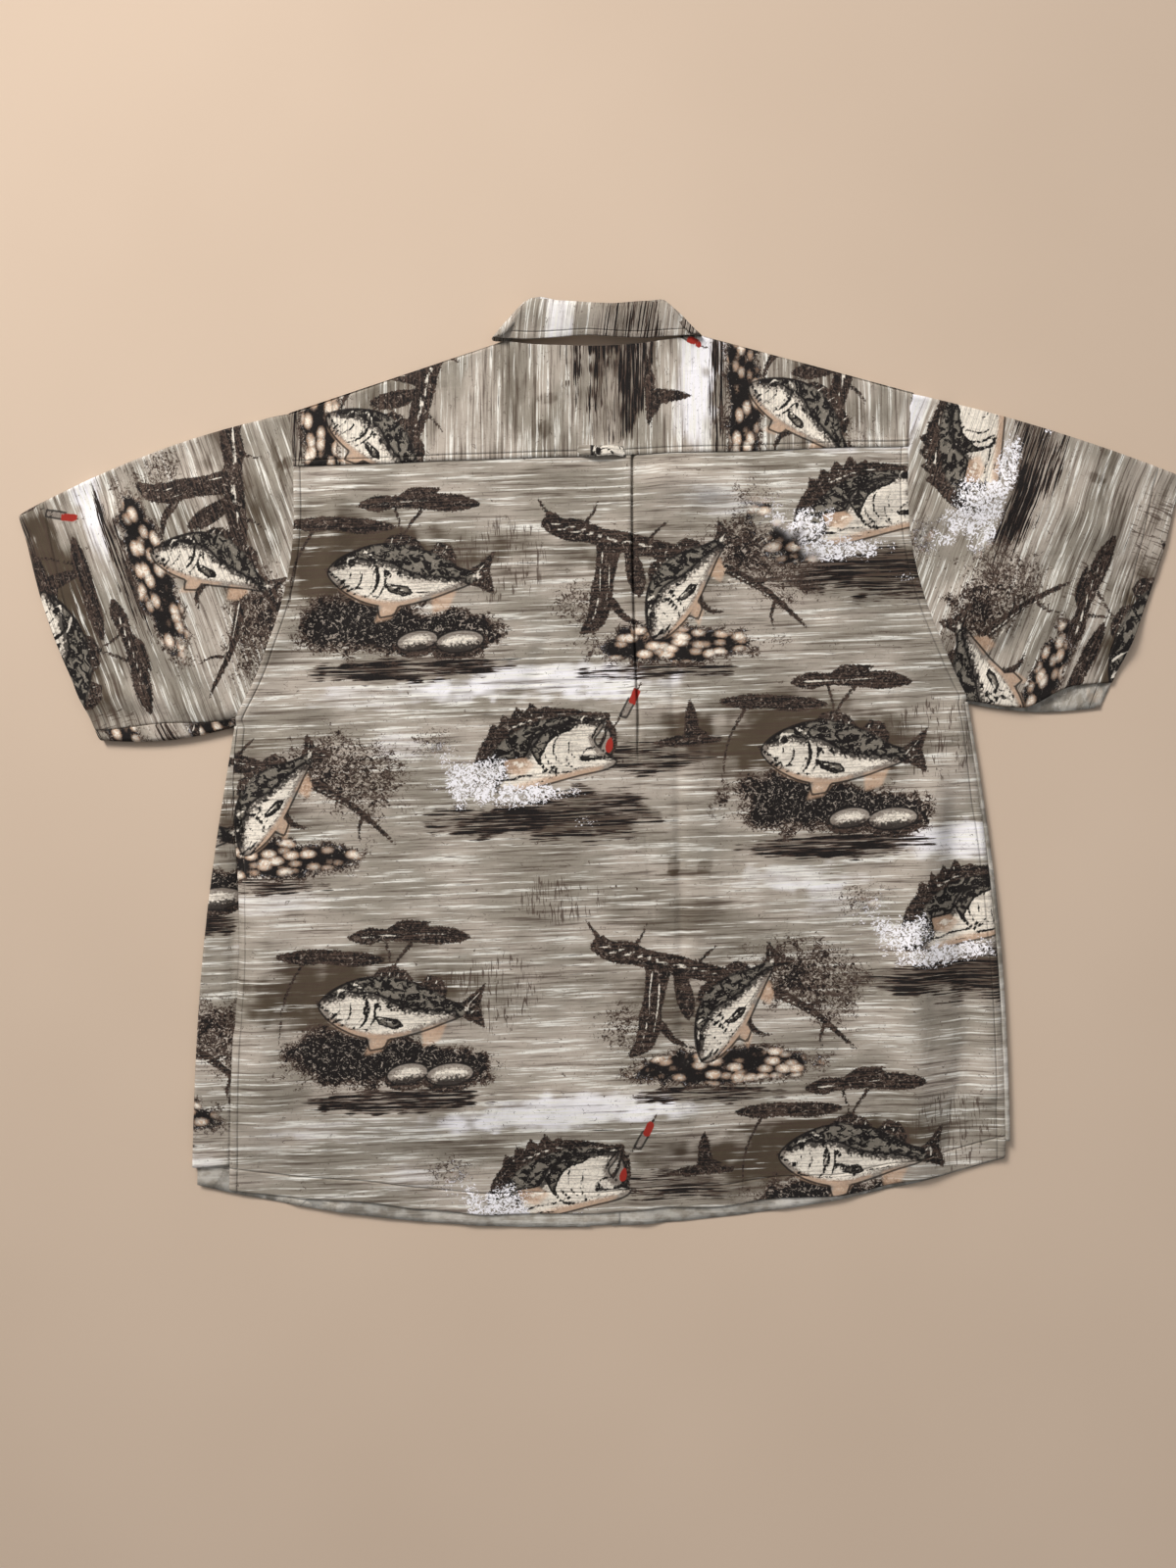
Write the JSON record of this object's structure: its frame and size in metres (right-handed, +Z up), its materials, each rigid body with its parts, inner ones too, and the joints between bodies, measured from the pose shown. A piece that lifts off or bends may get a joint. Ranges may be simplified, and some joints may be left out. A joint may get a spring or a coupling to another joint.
{
  "type": "short-sleeved button-up shirt",
  "caption": "Short-sleeved button-up shirt in printed cloth, lying back-up and spread flat, with a yoke, box pleat, locker loop, folded collar, chest pocket and front plackets.",
  "frame": {"origin": "middle of the shirt's footprint, on the surface that it lies on", "axes": "+X to the wearer's right across the sleeves, +Y towards the collar, +Z up, out of the shirt's back"},
  "size_m": [1.0722, 0.8546, 0.0222],
  "materials": {
    "printed_cloth": "soft woven cotton or rayon with an all-over fishing print, matte",
    "cloth_reverse": "the print's paler, mottled reverse side, matte",
    "label_cloth": "plain woven label tape, slightly shiny",
    "button": "polished dark horn-look resin",
    "thread": "sewing thread"
  },
  "bodies": {
    "torso": {"back_panel": "printed_cloth", "yoke_outer": "printed_cloth", "yoke_lining": "cloth_reverse", "hem_back": "cloth_reverse", "side_seam_left": "printed_cloth", "side_seam_right": "printed_cloth", "shoulder_seam_left": "printed_cloth", "shoulder_seam_right": "printed_cloth", "armhole_seam_left_back": "printed_cloth", "armhole_seam_left_front": "printed_cloth", "armhole_seam_right_back": "printed_cloth", "armhole_seam_right_front": "printed_cloth", "front_left_side": "printed_cloth", "front_right_side": "printed_cloth", "collar_stand": "cloth_reverse", "neck_label": "label_cloth", "care_label": "label_cloth"},
    "left_sleeve": {"sleeve_left": "printed_cloth", "sleeve_hem_left": "cloth_reverse", "sleeve_seam_left": "printed_cloth"},
    "right_sleeve": {"sleeve_right": "printed_cloth", "sleeve_hem_right": "cloth_reverse", "sleeve_seam_right": "printed_cloth"},
    "left_front": {"front_left_centre": "printed_cloth", "hem_front_left": "cloth_reverse", "placket_left": "printed_cloth", "collar_stand_left": "cloth_reverse", "collar_point_left": "printed_cloth", "chest_pocket": "printed_cloth"},
    "right_front": {"front_right_centre": "printed_cloth", "hem_front_right": "cloth_reverse", "placket_right": "printed_cloth", "collar_stand_right": "cloth_reverse", "collar_point_right": "printed_cloth", "button_1": "button", "button_thread_1": "thread", "button_2": "button", "button_thread_2": "thread", "button_3": "button", "button_thread_3": "thread", "button_4": "button", "button_thread_4": "thread", "button_5": "button", "button_thread_5": "thread", "button_6": "button", "button_thread_6": "thread", "button_7": "button", "button_thread_7": "thread"},
    "collar": {"collar_leaf": "printed_cloth"},
    "loop": {"locker_loop": "printed_cloth"}
  },
  "joints": [
    {"name": "sleeve_left_fold", "type": "hinge", "parent": "torso", "child": "left_sleeve", "pos_m": [-0.31199, 0.17863, 0.0177], "axis": [0.1773, 0.9842, 0], "range_deg": [0, 160]},
    {"name": "sleeve_right_fold", "type": "hinge", "parent": "torso", "child": "right_sleeve", "pos_m": [0.31201, 0.19922, 0.0177], "axis": [0.1793, -0.9838, 0], "range_deg": [0, 160]},
    {"name": "front_left_open", "type": "hinge", "parent": "torso", "child": "left_front", "pos_m": [-0.22449, -0.0152, 0.0006], "axis": [0.3126, 0.9499, 0], "range_deg": [0, 150]},
    {"name": "front_right_open", "type": "hinge", "parent": "torso", "child": "right_front", "pos_m": [0.22451, -0.00039, 0.0006], "axis": [0.3188, -0.9478, 0], "range_deg": [0, 112.5]},
    {"name": "collar_leaf_flip", "type": "hinge", "parent": "torso", "child": "collar", "pos_m": [0.00001, 0.42542, 0.01755], "axis": [-0.9995, -0.033, 0], "range_deg": [0, 170]},
    {"name": "locker_loop_lift", "type": "hinge", "parent": "torso", "child": "loop", "pos_m": [0.00001, 0.29142, 0.01665], "axis": [-0.9995, -0.033, 0], "range_deg": [0, 90]}
  ],
  "couplings": [
    {"joint": "front_right_open", "follows": "front_left_open", "ratio": 0.75}
  ]
}
